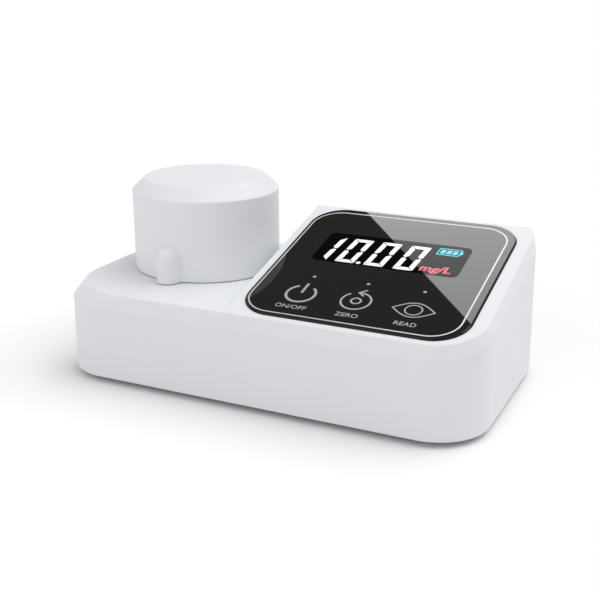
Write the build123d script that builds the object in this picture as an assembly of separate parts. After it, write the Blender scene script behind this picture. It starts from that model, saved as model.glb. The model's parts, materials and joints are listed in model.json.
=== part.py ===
from build123d import *
import math
import os

# Bench tester for residual chlorine in water: a moulded two-part housing with a flat deck on the
# left, a sloping touch panel on the right, and a round light shield cap over the sample well.
# Millimetres. The origin lies on the table under the middle of the housing, +Z is up and the
# front of the housing faces -Y.

# Housing shell
body_length = 190.0
body_depth = 108.0
edge_height = 2.5
corner_radius = 23.0
wall_draft = 1.0
side_wall = 2.5
top_wall = 3.2
deck_height = 40.8
chamfer_drop = 6.0
chamfer_inset = 1.5
deck_corner_radius = 31.0
slope_angle = 14.4
well_from_left = 43.3
well_y = 7.1
cap_to_wedge = 7.1
crest_setback = 12.1
rear_bevel_angle = 45.0
edge_rounding = 1.0
base_rounding = 0.8

# Housing screws and their bosses
screw_edge = 16.0
boss_radius = 4.0
boss_pilot_radius = 1.25
boss_pilot_depth = 12.0
boss_rib_wall = 1.6
housing_screw_head_radius = 2.75
housing_screw_head_height = 1.8
housing_screw_length = 10.0
thread_clearance = 0.05

# Bottom cover and feet
cover_recess = 1.0
cover_wall = 2.5
cover_gap = 0.3
rim_wall = 1.6
rim_height = 4.0
pad_radius = 5.6
pad_height = 2.5
counterbore_depth = 3.0
head_clearance = 0.35
foot_edge = 25.0
foot_radius = 7.0
foot_pocket = 0.8
foot_gap = 0.1
foot_rounding = 0.8

# Touch panel: its margins to the step, the right side, the front line and the crest
panel_left_margin = 4.1
panel_right_margin = 8.1
panel_front = 2.8
panel_rear_margin = 2.9
panel_corner_radius = 14.5
panel_thickness = 2.0
panel_proud = 0.8
panel_edge_bevel = 0.4
panel_gap = 0.25
gasket_thickness = 0.3
gasket_width = 5.0

# Display window and touch keys, measured from the panel's edges
window_left_margin = 14.2
window_right_margin = 15.3
window_front_margin = 44.0
window_rear_margin = 22.4
window_radius = 3.0
display_margin = 1.0
display_gap = 0.5
display_clearance = 0.3
key_left_margin = 22.2
key_right_margin = 24.1
key_front_margin = 17.4
lamp_front_margin = 30.9
pillar_radius = 3.0
pillar_clearance = 0.5
lamp_radius = 1.5
lamp_clearance = 0.3

# Panel board under the slope
panel_board_depth = 6.0
panel_board_side_margin = 12.6
panel_board_front_margin = 5.2
panel_board_rear_margin = 10.0
board_thickness = 1.6
board_hole_edge = 4.0
post_radius = 3.0
post_pilot_radius = 1.0
post_pilot_depth = 4.5
board_screw_head_radius = 2.2
board_screw_head_height = 1.4
board_screw_length = 5.5
board_hole_radius = 1.4

# Main board on the bottom cover
main_board_left_gap = 8.0
main_board_right_gap = 1.4
main_board_front_gap = 4.1
main_board_rear_gap = 5.5
main_board_height = 6.0

# Charging socket, a reversible five volt receptacle
socket_width = 8.94
socket_height = 3.26
socket_length = 8.9
socket_wall = 0.3
socket_flush = 0.3
socket_clearance = 0.3
tongue_width = 6.7
tongue_thickness = 0.7

# Buzzer
buzzer_radius = 6.0
buzzer_height = 5.0
buzzer_edge = 10.5

# Ribbon between the two boards
ribbon_width = 12.0
ribbon_thickness = 0.3
ribbon_bend_radius = 20.0
connector_length = 5.0
connector_margin = 2.0
connector_height = 3.0
ribbon_edge = 6.0
component_gap = 1.0
chip_width = 8.0

# Battery pack
battery_length = 68.0
battery_depth = 34.0
battery_height = 12.0
battery_side_gap = 0.9
battery_front_gap = 0.4
battery_rounding = 3.0
rail_wall = 1.5
rail_height = 6.0
rail_gap = 0.3
clamp_width = 12.0
clamp_thickness = 1.2
clamp_foot = 7.0
clamp_post_height = 4.0

# Sample well and optics
cell_bore_radius = 12.75
cell_floor = 2.5
cell_floor_gap = 1.0
holder_wall = 3.25
flange_radius = 27.0
flange_thickness = 2.5
bezel_radius = 28.6
bezel_height = 3.0
bezel_rounding = 0.8
bezel_lead_in = 1.2
neck_radius = 19.7
neck_clearance = 0.3
bezel_boss_radius = 2.8
bezel_boss_circle = 24.0
bezel_pilot_depth = 4.8
index_notch_width = 3.0
index_notch_depth = 2.6
holder_screw_length = 6.5
beam_drop = 6.1
port_radius = 2.2
arm_radius = 6.0
arm_bore_radius = 3.0
port_length = 6.2
emitter_reach = 30.0
sensor_reach = 25.0
optics_clearance = 0.05
arm_flange_width = 18.0
arm_flange_height = 14.0
arm_flange_thickness = 5.0
optics_screw_spacing = 13.0
optics_pilot_radius = 0.8
optics_screw_head_radius = 1.8
optics_screw_head_height = 1.2
optics_screw_length = 5.2
lens_thickness = 2.0
lens_crown = 0.9
filter_thickness = 1.5
lamp_body_radius = 2.5
lamp_body_length = 8.2
lamp_flange_thickness = 1.0
sensor_can_radius = 2.35
sensor_can_height = 3.4
sensor_brim = 0.35
sensor_brim_thickness = 0.4

# Light shield cap
cap_radius = 33.2
cap_height = 41.1
cap_shoulder_drop = 5.3
cap_shoulder_inset = 5.8
cap_base_gap = 0.4
cap_wall = 2.2
cap_top_wall = 2.5
cap_edge_rounding = 0.7
liner_gap = 0.1
liner_wall = 1.6
seal_gap = 0.3
seal_height = 1.2
lug_radius = 4.9
lug_offset = 1.3
lug_height = 11.0
lug_blend = 2.0

# Sizes that follow from the ones above
far = 400.0
cover_low = edge_height + cover_recess
cover_top = cover_low + cover_wall
pad_top = cover_top + pad_height
screw_x = body_length / 2 - screw_edge
screw_y = body_depth / 2 - screw_edge
foot_x = body_length / 2 - foot_edge
foot_y = body_depth / 2 - foot_edge
well_x = well_from_left - body_length / 2
wedge_left = well_x + cap_radius + cap_to_wedge
slope = math.radians(slope_angle)
draft = math.tan(math.radians(wall_draft))
front_line = -body_depth / 2 + (deck_height - chamfer_drop - edge_height) * draft + chamfer_inset
crest_y = body_depth / 2 - crest_setback
crest_z = deck_height + (crest_y - front_line) * math.tan(slope)
slope_plane = Plane(
    origin=(0, front_line, deck_height),
    x_dir=(1, 0, 0),
    z_dir=(0, -math.sin(slope), math.cos(slope)),
)
bevel = math.radians(rear_bevel_angle)
bevel_plane = Plane(
    origin=(0, crest_y, crest_z),
    x_dir=(1, 0, 0),
    z_dir=(0, math.sin(bevel), math.cos(bevel)),
)
slope_length = (crest_y - front_line) / math.cos(slope)
panel_left = wedge_left + panel_left_margin
panel_right = body_length / 2 - panel_right_margin
panel_width = panel_right - panel_left
panel_length = slope_length - panel_front - panel_rear_margin
panel_centre_x = (panel_left + panel_right) / 2
panel_middle = panel_front + panel_length / 2
window_width = panel_width - window_left_margin - window_right_margin
window_length = panel_length - window_front_margin - window_rear_margin
window_centre_x = panel_left + window_left_margin + window_width / 2
window_middle = panel_front + window_front_margin + window_length / 2
key_pitch = (panel_width - key_left_margin - key_right_margin) / 2
key_centres = [panel_left + key_left_margin + step * key_pitch for step in range(3)]
key_v = panel_front + key_front_margin
lamp_v = panel_front + lamp_front_margin
glass_low = panel_proud - panel_thickness
recess_low = glass_low - gasket_thickness
panel_board_top = -top_wall - panel_board_depth
panel_board_low = panel_board_top - board_thickness
panel_board_width = panel_width - 2 * panel_board_side_margin
panel_board_length = panel_length - panel_board_front_margin - panel_board_rear_margin
panel_board_middle = panel_front + panel_board_front_margin + panel_board_length / 2
clamp_reach = battery_depth / 2 + rail_gap + rail_wall + clamp_foot
rim_inner = side_wall + cover_gap + rim_wall
battery_centre_x = screw_x - pad_radius - battery_side_gap - rail_wall - rail_gap - battery_length / 2
battery_centre_y = rim_inner + battery_front_gap + clamp_reach - body_depth / 2
main_board_low = cover_top + main_board_height
main_board_top = main_board_low + board_thickness
main_board_left = wedge_left + main_board_left_gap
main_board_right = screw_x - pad_radius - main_board_right_gap
main_board_front = battery_centre_y + clamp_reach + main_board_front_gap
main_board_rear = body_depth / 2 - main_board_rear_gap
main_board_width = main_board_right - main_board_left
main_board_length = main_board_rear - main_board_front
main_board_centre_x = (main_board_left + main_board_right) / 2
main_board_centre_y = (main_board_front + main_board_rear) / 2
ribbon_y = main_board_front + ribbon_edge
buzzer_x = main_board_left + buzzer_edge
buzzer_y = main_board_rear - buzzer_edge
well_floor = cover_top + cell_floor_gap + cell_floor
flange_top = deck_height - top_wall
flange_low = flange_top - flange_thickness
bezel_top = deck_height + bezel_height
well_top = flange_top
holder_radius = cell_bore_radius + holder_wall
beam_height = flange_low - arm_flange_height / 2 - beam_drop
shoulder_tilt = math.atan2(cap_shoulder_inset, cap_shoulder_drop)


def mirrored(x, y):
    """The four points (+-x, +-y)."""
    return [(sx * x, sy * y) for sx in (-1, 1) for sy in (-1, 1)]


def around(centre_x, centre_y, half_x, half_y):
    """The four corners of a rectangle round a centre."""
    return [(centre_x + x, centre_y + y) for x, y in mirrored(half_x, half_y)]


def disc(x, y, low, high, radius):
    """Upright cylinder between two heights."""
    return Pos(x, y, (low + high) / 2) * Cylinder(radius, high - low)


def slab(x_low, x_high, y_low, y_high, z_low, z_high):
    """Square block between six limits."""
    centre = Pos((x_low + x_high) / 2, (y_low + y_high) / 2, (z_low + z_high) / 2)
    return centre * Box(x_high - x_low, y_high - y_low, z_high - z_low)


def on_slope(shape):
    """Place a shape drawn in panel coordinates on the slope."""
    return slope_plane * shape


def rounded_plate(x, y, low, high, width, length, radius):
    """Plate with round corners between two heights."""
    return extrude(Pos(x, y, low) * RectangleRounded(width, length, radius), high - low)


def draft_inset(z):
    """How far the drafted outer wall has drawn in at a height."""
    return (z - edge_height) * draft


def footprint(inset, z):
    """Outline of the housing at a height, drawn in by the draft and an inset."""
    pull = inset + draft_inset(z)
    return Pos(0, 0, z) * RectangleRounded(body_length - 2 * pull, body_depth - 2 * pull, corner_radius - pull)


def drafted_block(inset, low, high):
    """Housing walls as one drafted block."""
    return loft([footprint(inset, low), footprint(inset, high)], ruled=True)


def deck_form(inset, drop, low):
    """Left part: drafted walls, a chamfer that widens round the corners, and a flat deck."""
    top = deck_height - drop
    shoulder = top - chamfer_drop
    pull = inset + draft_inset(shoulder) + chamfer_inset
    crown = RectangleRounded(body_length - 2 * pull, body_depth - 2 * pull, deck_corner_radius - inset)
    band = loft([footprint(inset, shoulder), Pos(0, 0, top) * crown], ruled=True)
    return drafted_block(inset, low, shoulder) + band


def front_edge(inset, drop):
    """Depth and height of the line where the front wall would meet the slope without a chamfer."""
    tilt = math.tan(slope)
    height = deck_height - drop / math.cos(slope)
    wall_base = inset - body_depth / 2
    depth = (wall_base + (height - edge_height - front_line * tilt) * draft) / (1 - draft * tilt)
    return depth, height + (depth - front_line) * tilt


def wedge_form(inset, drop, low):
    """Right part: the same walls cut to the slope, chamfered, with a bevel behind the crest."""
    over = Pos(0, 0, far / 2) * Box(far, far, far)
    block = drafted_block(inset, low, crest_z + chamfer_drop) - slope_plane.offset(-drop) * over
    top = max(block.faces(), key=lambda face: face.center().Z)
    edge_y, edge_z = front_edge(inset, drop)
    crown_y = front_line + inset + drop * math.sin(slope)
    run = (crown_y - edge_y) / math.cos(slope)
    fall = edge_z - deck_height + drop + chamfer_drop
    block = chamfer(top.edges(), length=run, length2=fall, reference=top)
    return block - bevel_plane.offset(-drop) * over


def housing_form(inset, drop, low):
    """Deck and wedge joined at the step between them."""
    step = wedge_left + inset
    left = slab(-far, step, -far, far, -far, far)
    right = slab(step, far, -far, far, -far, far)
    return deck_form(inset, drop, low) & left, wedge_form(inset, drop, low) & right


def widest_face(shape, normal):
    """Largest flat face of a shape that looks along a direction."""
    faces = [face for face in shape.faces() if face.geom_type == GeomType.PLANE]
    return max((face for face in faces if face.normal_at().dot(normal) > 0.9999), key=lambda face: face.area)


def at_step(edge):
    """True for the inner edge between the deck and the side of the wedge."""
    middle = edge.center()
    return abs(middle.X - wedge_left) < 0.01 and abs(middle.Z - deck_height) < 0.01


def outer_form():
    """Outside of the shell, with soft edges round its upper faces and its base."""
    deck, wedge = housing_form(0, 0, edge_height)
    shell = deck + wedge
    upper = [widest_face(shell, normal) for normal in (Vector(0, 0, 1), slope_plane.z_dir, bevel_plane.z_dir)]
    crown = dict.fromkeys(edge for face in upper for edge in face.edges() if not at_step(edge))
    shell = fillet(list(crown), edge_rounding)
    return fillet(widest_face(shell, Vector(0, 0, -1)).edges(), base_rounding)


def screw(head_radius, head_height, shank_radius, length):
    """Pan head screw along +Z with its head below the origin and a cross recess in it."""
    head = Pos(0, 0, -head_height / 2) * Cylinder(head_radius, head_height)
    head = chamfer(head.edges().sort_by(Axis.Z)[0], head_height * 0.3)
    recess_depth = head_height * 0.55
    recess = Pos(0, 0, -head_height + recess_depth / 2)
    slot_width = head_radius * 0.25
    cross = recess * Box(head_radius * 1.1, slot_width, recess_depth)
    cross += recess * Box(slot_width, head_radius * 1.1, recess_depth)
    shank = disc(0, 0, 0, length, shank_radius)
    return head - cross + chamfer(shank.edges().sort_by(Axis.Z)[-1], shank_radius * 0.5)


def upper_shell():
    """White moulded shell with bosses, ribs, panel recess and deck opening."""
    outer = outer_form()
    cavity_deck, cavity_wedge = housing_form(side_wall, top_wall, edge_height)
    shell = outer - cavity_deck - cavity_wedge
    shell += inner_posts() & outer
    shell -= panel_recess()
    shell -= deck_openings()
    for x, y in mirrored(screw_x, screw_y):
        shell -= disc(x, y, pad_top, pad_top + boss_pilot_depth, boss_pilot_radius)
    return shell - socket_opening()


def inner_posts():
    """Screw bosses tied to the walls by ribs, and the posts of the panel board."""
    reach = crest_z
    posts = []
    for x, y in mirrored(screw_x, screw_y):
        side_x = math.copysign(screw_edge, x)
        side_y = math.copysign(screw_edge, y)
        rib_low = pad_top + boss_radius
        posts.append(disc(x, y, pad_top, reach, boss_radius))
        posts.append(slab(*sorted((x, x + side_x)), y - boss_rib_wall / 2, y + boss_rib_wall / 2, rib_low, reach))
        posts.append(slab(x - boss_rib_wall / 2, x + boss_rib_wall / 2, *sorted((y, y + side_y)), rib_low, reach))
    for u, v in panel_board_holes():
        post = disc(u, v, panel_board_top, recess_low, post_radius)
        pilot = disc(u, v, panel_board_top, panel_board_top + post_pilot_depth, post_pilot_radius)
        posts.append(on_slope(post - pilot))
    joined = posts[0]
    for post in posts[1:]:
        joined += post
    return joined


def panel_board_holes():
    """Fixing holes of the panel board in panel coordinates."""
    half_x = panel_board_width / 2 - board_hole_edge
    half_y = panel_board_length / 2 - board_hole_edge
    return around(panel_centre_x, panel_board_middle, half_x, half_y)


def panel_recess():
    """Pocket for the touch panel with the openings in its floor."""
    pocket = rounded_plate(
        panel_centre_x,
        panel_middle,
        recess_low,
        panel_proud,
        panel_width + 2 * panel_gap,
        panel_length + 2 * panel_gap,
        panel_corner_radius + panel_gap,
    )
    through = -top_wall - side_wall
    opening = rounded_plate(
        window_centre_x,
        window_middle,
        through,
        recess_low,
        window_width + 2 * (display_margin + display_clearance),
        window_length + 2 * (display_margin + display_clearance),
        window_radius,
    )
    pocket += opening
    for u in key_centres:
        pocket += disc(u, key_v, through, recess_low, pillar_radius + pillar_clearance)
        pocket += disc(u, lamp_v, through, recess_low, lamp_radius + lamp_clearance)
    return on_slope(pocket)


def bezel_boss_places():
    """Places of the four bosses that tie the bezel to the cell holder."""
    half = bezel_boss_circle * math.sqrt(0.5)
    return around(well_x, well_y, half, half)


def deck_openings():
    """Round hole for the bezel's neck and small holes for its bosses."""
    cut = disc(well_x, well_y, flange_low, bezel_top, neck_radius + neck_clearance)
    for x, y in bezel_boss_places():
        cut += disc(x, y, flange_low, bezel_top, bezel_boss_radius + neck_clearance)
    return cut


def socket_centre_z():
    """Height of the charging socket's axis."""
    return main_board_top + socket_height / 2


def socket_face_y():
    """Where the socket's mouth lies, just inside the rear wall's face."""
    return body_depth / 2 - draft_inset(socket_centre_z()) - socket_flush


def socket_opening():
    """Rounded slot for the charging socket through the rear wall."""
    outline = RectangleRounded(
        socket_width + 2 * socket_clearance,
        socket_height + 2 * socket_clearance,
        socket_height / 2,
    )
    centre = (main_board_centre_x, body_depth / 2 + side_wall, socket_centre_z())
    place = Plane(origin=centre, x_dir=(1, 0, 0), z_dir=(0, -1, 0))
    return extrude(place * outline, 3 * side_wall)


def bottom_cover():
    """Closing plate with a rim, screw pads, foot pockets, board posts and battery rails."""
    inset = side_wall + cover_gap
    cover = drafted_block(inset, cover_low, cover_top + rim_height)
    cover -= drafted_block(inset + rim_wall, cover_top, cover_top + rim_height)
    for x, y in mirrored(screw_x, screw_y):
        cover += disc(x, y, cover_top, pad_top, pad_radius)
        cover -= disc(x, y, cover_low, cover_low + counterbore_depth, housing_screw_head_radius + head_clearance)
        cover -= disc(x, y, cover_low, pad_top, boss_pilot_radius + head_clearance)
    for x, y in mirrored(foot_x, foot_y):
        cover -= disc(x, y, cover_low, cover_low + foot_pocket, foot_radius + foot_gap)
    for x, y in main_board_holes():
        cover += disc(x, y, cover_top, main_board_low, post_radius)
        cover -= disc(x, y, main_board_low - post_pilot_depth, main_board_low, post_pilot_radius)
    for x, y in clamp_holes():
        cover += disc(x, y, cover_top, cover_top + clamp_post_height, post_radius)
        top = cover_top + clamp_post_height
        cover -= disc(x, y, top - post_pilot_depth, top, post_pilot_radius)
    return cover + battery_rails()


def main_board_holes():
    """Fixing holes of the main board."""
    half_x = main_board_width / 2 - board_hole_edge
    half_y = main_board_length / 2 - board_hole_edge
    return around(main_board_centre_x, main_board_centre_y, half_x, half_y)


def clamp_holes():
    """Screw places of the battery clamp, before and behind the battery."""
    reach = clamp_reach - clamp_foot / 2
    return [(battery_centre_x, battery_centre_y + side * reach) for side in (-1, 1)]


def battery_rails():
    """End stops and side rails that keep the battery in place."""
    half_x = battery_length / 2 + rail_gap
    half_y = battery_depth / 2 + rail_gap
    top = cover_top + rail_height
    frame = slab(-half_x - rail_wall, half_x + rail_wall, -half_y - rail_wall, half_y + rail_wall, cover_top, top)
    frame -= slab(-half_x, half_x, -half_y, half_y, cover_top, top)
    middle = clamp_width / 2 + rail_gap
    frame -= slab(-middle, middle, -far, far, cover_top, top)
    return Pos(battery_centre_x, battery_centre_y, 0) * frame


def rubber_feet():
    """Four round pads under the cover."""
    feet = []
    for x, y in mirrored(foot_x, foot_y):
        foot = disc(x, y, 0, cover_low + foot_pocket, foot_radius)
        feet.append(fillet(foot.edges().sort_by(Axis.Z)[0], foot_rounding))
    return Compound(feet)


def housing_screws():
    """Four screws from below through the cover into the shell's bosses."""
    model = screw(
        housing_screw_head_radius,
        housing_screw_head_height,
        boss_pilot_radius - thread_clearance,
        housing_screw_length,
    )
    seat = cover_low + counterbore_depth
    return Compound([Pos(x, y, seat) * model for x, y in mirrored(screw_x, screw_y)])


def touch_panel():
    """Black glass plate with round corners and a fine bevel round its face."""
    plate = rounded_plate(
        panel_centre_x, panel_middle, glass_low, panel_proud, panel_width, panel_length, panel_corner_radius
    )
    face = max(plate.faces(), key=lambda side: side.center().Z)
    return on_slope(chamfer(face.edges(), panel_edge_bevel))


def panel_gasket():
    """Adhesive frame between the glass and the floor of its recess."""
    outer = rounded_plate(
        panel_centre_x, panel_middle, recess_low, glass_low, panel_width, panel_length, panel_corner_radius
    )
    inner = rounded_plate(
        panel_centre_x,
        panel_middle,
        recess_low,
        glass_low,
        panel_width - 2 * gasket_width,
        panel_length - 2 * gasket_width,
        panel_corner_radius - gasket_width,
    )
    return on_slope(outer - inner)


def display_module():
    """Display with a thin frame round its sunk face."""
    width = window_width + 2 * display_margin
    length = window_length + 2 * display_margin
    top = glass_low - display_gap
    body = rounded_plate(
        window_centre_x, window_middle, panel_board_top, top, width, length, window_radius - display_clearance
    )
    face = rounded_plate(
        window_centre_x, window_middle, top - display_margin, top, window_width, window_length, display_margin
    )
    return on_slope(body - face)


def touch_pillars():
    """Conductive rubber pillars from the panel board to the back of the glass."""
    return Compound([on_slope(disc(u, key_v, panel_board_top, glass_low, pillar_radius)) for u in key_centres])


def indicator_lamps():
    """Small domed lamps behind the dots above the keys."""
    lamps = []
    top = glass_low - display_gap
    for u in key_centres:
        lamp = disc(u, lamp_v, panel_board_top, top, lamp_radius)
        lamps.append(on_slope(fillet(lamp.edges().sort_by(Axis.Z)[-1], lamp_radius * 0.9)))
    return Compound(lamps)


def panel_board():
    """Board that carries the display, the lamps and the touch pillars."""
    board = rounded_plate(
        panel_centre_x,
        panel_board_middle,
        panel_board_low,
        panel_board_top,
        panel_board_width,
        panel_board_length,
        board_thickness,
    )
    for u, v in panel_board_holes():
        board -= disc(u, v, panel_board_low, panel_board_top, board_hole_radius)
    v = ribbon_top_v()
    half_x = ribbon_width / 2 + connector_margin
    half_y = connector_length / 2
    x = main_board_centre_x
    board += slab(x - half_x, x + half_x, v - half_y, v + half_y, panel_board_low - connector_height, panel_board_low)
    half = chip_width / 2
    chip_x = x + half_x + component_gap + half
    board += slab(chip_x - half, chip_x + half, v - half, v + half, panel_board_low - board_thickness, panel_board_low)
    return on_slope(board)


def panel_board_screws():
    """Four screws that hold the panel board to its posts."""
    model = screw(
        board_screw_head_radius, board_screw_head_height, post_pilot_radius - thread_clearance, board_screw_length
    )
    return Compound([on_slope(Pos(u, v, panel_board_low) * model) for u, v in panel_board_holes()])


def main_board():
    """Main board with its controller, regulator coil and ribbon connector."""
    board = rounded_plate(
        main_board_centre_x,
        main_board_centre_y,
        main_board_low,
        main_board_top,
        main_board_width,
        main_board_length,
        board_thickness,
    )
    for x, y in main_board_holes():
        board -= disc(x, y, main_board_low, main_board_top, board_hole_radius)
    x = main_board_centre_x
    y = ribbon_y
    half_x = ribbon_width / 2 + connector_margin
    half_y = connector_length / 2
    board += slab(x - half_x, x + half_x, y - half_y, y + half_y, main_board_top, main_board_top + connector_height)
    half = chip_width / 2
    chip_y = y + half_y + component_gap + half
    board += slab(x - half, x + half, chip_y - half, chip_y + half, main_board_top, main_board_top + board_thickness)
    half = connector_height
    coil_x = x - half_x - component_gap - half
    board += slab(coil_x - half, coil_x + half, y - half, y + half, main_board_top, main_board_top + connector_height)
    return board


def main_board_screws():
    """Four screws from above through the main board into the cover's posts."""
    model = Rot(180, 0, 0) * screw(
        board_screw_head_radius, board_screw_head_height, post_pilot_radius - thread_clearance, board_screw_length
    )
    return Compound([Pos(x, y, main_board_top) * model for x, y in main_board_holes()])


def charge_socket():
    """Metal shell with rounded ends round a contact tongue, on the rear edge of the main board."""
    z = socket_centre_z()
    mouth = Plane(origin=(main_board_centre_x, socket_face_y(), z), x_dir=(1, 0, 0), z_dir=(0, -1, 0))
    outline = RectangleRounded(socket_width, socket_height, socket_height / 2 - socket_wall)
    inner_height = socket_height - 2 * socket_wall
    hollow = RectangleRounded(socket_width - 2 * socket_wall, inner_height, inner_height / 2 - socket_wall)
    shell = extrude(mouth * outline, socket_length)
    shell -= extrude(mouth * hollow, socket_length - 2 * socket_wall)
    tongue = extrude(mouth.offset(socket_wall) * Rectangle(tongue_width, tongue_thickness), socket_length - socket_wall)
    return shell + tongue


def buzzer():
    """Round sounder with a sound hole."""
    low = main_board_top
    body = disc(buzzer_x, buzzer_y, low, low + buzzer_height, buzzer_radius)
    body = fillet(body.edges().sort_by(Axis.Z)[-1], buzzer_radius / 10)
    return body - disc(buzzer_x, buzzer_y, low + buzzer_height / 2, low + buzzer_height, buzzer_radius / 6)


def ribbon_bend():
    """Lower and upper end of the ribbon's bend: the height where it starts and its end point."""
    start = main_board_top + connector_height + connector_height
    end_y = ribbon_y - ribbon_bend_radius * (1 - math.cos(slope))
    end_z = start + ribbon_bend_radius * math.sin(slope)
    return start, end_y, end_z


def ribbon_top_v():
    """Where the ribbon meets the panel board, along the slope from its front line."""
    start, end_y, end_z = ribbon_bend()
    return (end_y - front_line) * math.cos(slope) + (end_z - deck_height) * math.sin(slope)


def ribbon_cable():
    """Flat ribbon that rises from the main board and bends square to the panel board."""
    start, end_y, end_z = ribbon_bend()
    low = main_board_top + connector_height
    depth = (end_y - front_line) * math.sin(slope) - (end_z - deck_height) * math.cos(slope)
    rise = depth + panel_board_low - connector_height
    half = ribbon_width / 2
    x = main_board_centre_x
    half_strip = ribbon_thickness / 2
    strip = slab(x - half, x + half, ribbon_y - half_strip, ribbon_y + half_strip, low, start)
    side = Plane(origin=(x - half, ribbon_y - ribbon_bend_radius, start), x_dir=(0, 1, 0), z_dir=(1, 0, 0))
    ring = Circle(ribbon_bend_radius + half_strip) - Circle(ribbon_bend_radius - half_strip)
    reach = 2 * ribbon_bend_radius
    tip = (reach, reach * math.tan(slope))
    sector = make_face(Polyline((0, 0), (reach, 0), tip, close=True))
    bend = extrude(side * (ring & sector), ribbon_width)
    end = Plane(origin=(x, end_y, end_z), x_dir=(1, 0, 0), z_dir=(0, -math.sin(slope), math.cos(slope)))
    upper = extrude(end * Rectangle(ribbon_width, ribbon_thickness), rise)
    return strip + bend + upper


def battery_pack():
    """Flat rechargeable pack with rounded long edges."""
    low = cover_top
    body = slab(
        battery_centre_x - battery_length / 2,
        battery_centre_x + battery_length / 2,
        battery_centre_y - battery_depth / 2,
        battery_centre_y + battery_depth / 2,
        low,
        low + battery_height,
    )
    return fillet(body.edges().filter_by(Axis.X), battery_rounding)


def battery_clamp():
    """Bent strap over the battery with a screw foot at each end."""
    half = clamp_width / 2
    inner = battery_depth / 2 + rail_gap
    outer = inner + clamp_thickness
    top = cover_top + battery_height
    seat = cover_top + clamp_post_height
    strap = slab(-half, half, -outer, outer, seat, top + clamp_thickness)
    strap -= slab(-half, half, -inner, inner, seat, top)
    for side in (-1, 1):
        span = sorted((side * inner, side * clamp_reach))
        strap += slab(-half, half, *span, seat, seat + clamp_thickness)
    strap = Pos(battery_centre_x, battery_centre_y, 0) * strap
    for x, y in clamp_holes():
        strap -= disc(x, y, seat, seat + clamp_thickness, board_hole_radius)
    return strap


def clamp_screws():
    """Two screws that hold the battery clamp."""
    model = Rot(180, 0, 0) * screw(
        board_screw_head_radius, board_screw_head_height, post_pilot_radius - thread_clearance, board_screw_length
    )
    seat = cover_top + clamp_post_height + clamp_thickness
    return Compound([Pos(x, y, seat) * model for x, y in clamp_holes()])


def well_bezel():
    """Black ring on the deck round the mouth of the well, with a neck and four bosses below."""
    ring = disc(well_x, well_y, deck_height, bezel_top, bezel_radius)
    ring = fillet(ring.edges().sort_by(Axis.Z)[-1], bezel_rounding)
    ring += disc(well_x, well_y, flange_top, deck_height, neck_radius)
    for x, y in bezel_boss_places():
        ring += disc(x, y, flange_top, deck_height, bezel_boss_radius)
        ring -= disc(x, y, flange_top, flange_top + bezel_pilot_depth, post_pilot_radius)
    bore = cell_bore_radius
    ring -= disc(well_x, well_y, flange_top, bezel_top, bore)
    lead = Pos(well_x, well_y, bezel_top - bezel_lead_in / 2) * Cone(bore, bore + bezel_lead_in, bezel_lead_in)
    ring -= lead
    notch_y = well_y - bore - index_notch_depth
    half = index_notch_width / 2
    return ring - slab(well_x - half, well_x + half, notch_y, well_y, bezel_top - bezel_lead_in, bezel_top)


def arm(reach):
    """Optics tube along +X from the well's axis with a square end flange."""
    flange_back = reach - arm_flange_thickness
    tube = Rot(0, 90, 0) * disc(0, 0, cell_bore_radius, reach, arm_radius)
    half_y = arm_flange_width / 2
    half_z = arm_flange_height / 2
    return tube + slab(flange_back, reach, -half_y, half_y, -half_z, half_z)


def arm_bores(reach):
    """Beam port, wider optics bore and screw pilots of an arm."""
    shoulder = cell_bore_radius + port_length
    bores = Rot(0, 90, 0) * disc(0, 0, 0, shoulder, port_radius)
    bores += Rot(0, 90, 0) * disc(0, 0, shoulder, reach, arm_bore_radius)
    for side in (-1, 1):
        pilot = disc(0, side * optics_screw_spacing / 2, reach - arm_flange_thickness, reach, optics_pilot_radius)
        bores += Rot(0, 90, 0) * pilot
    return bores


def optics_place(turn):
    """Frame of an arm on the beam's axis: its local X points away from the well."""
    return Pos(well_x, well_y, beam_height) * Rot(0, 0, turn)


def cell_holder():
    """Black block hung under the deck: a blind well for the cell with two optics arms."""
    low = well_floor - cell_floor
    holder = disc(well_x, well_y, low, flange_top, holder_radius)
    holder += disc(well_x, well_y, flange_low, flange_top, flange_radius)
    holder += optics_place(180) * arm(emitter_reach)
    holder += optics_place(0) * arm(sensor_reach)
    holder -= disc(well_x, well_y, well_floor, flange_top, cell_bore_radius)
    holder -= optics_place(180) * arm_bores(emitter_reach)
    holder -= optics_place(0) * arm_bores(sensor_reach)
    for x, y in bezel_boss_places():
        holder -= disc(x, y, flange_low, flange_top, board_hole_radius)
    return holder


def holder_screws():
    """Four screws from below through the holder's flange into the bezel's bosses."""
    model = screw(
        board_screw_head_radius, board_screw_head_height, post_pilot_radius - thread_clearance, holder_screw_length
    )
    return Compound([Pos(x, y, flange_low) * model for x, y in bezel_boss_places()])


def collimating_lens():
    """Flat and domed lens on the shoulder of the emitter's bore."""
    radius = arm_bore_radius - optics_clearance
    edge = lens_thickness - lens_crown
    sphere_radius = (radius**2 + lens_crown**2) / (2 * lens_crown)
    crown = Pos(0, 0, lens_thickness - sphere_radius) * Sphere(sphere_radius)
    lens = disc(0, 0, 0, edge, radius) + (crown & disc(0, 0, edge, lens_thickness, radius))
    shoulder = cell_bore_radius + port_length
    return optics_place(180) * Pos(shoulder, 0, 0) * Rot(0, 90, 0) * lens


def emitter_lamp():
    """Round lamp with a domed end and a flange against its board."""
    body = disc(0, 0, 0, lamp_body_length - lamp_body_radius, lamp_body_radius)
    body += Pos(0, 0, lamp_body_length - lamp_body_radius) * Sphere(lamp_body_radius)
    body += disc(0, 0, 0, lamp_flange_thickness, arm_bore_radius - optics_clearance)
    return optics_place(180) * Pos(emitter_reach, 0, 0) * Rot(0, -90, 0) * body


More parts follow.
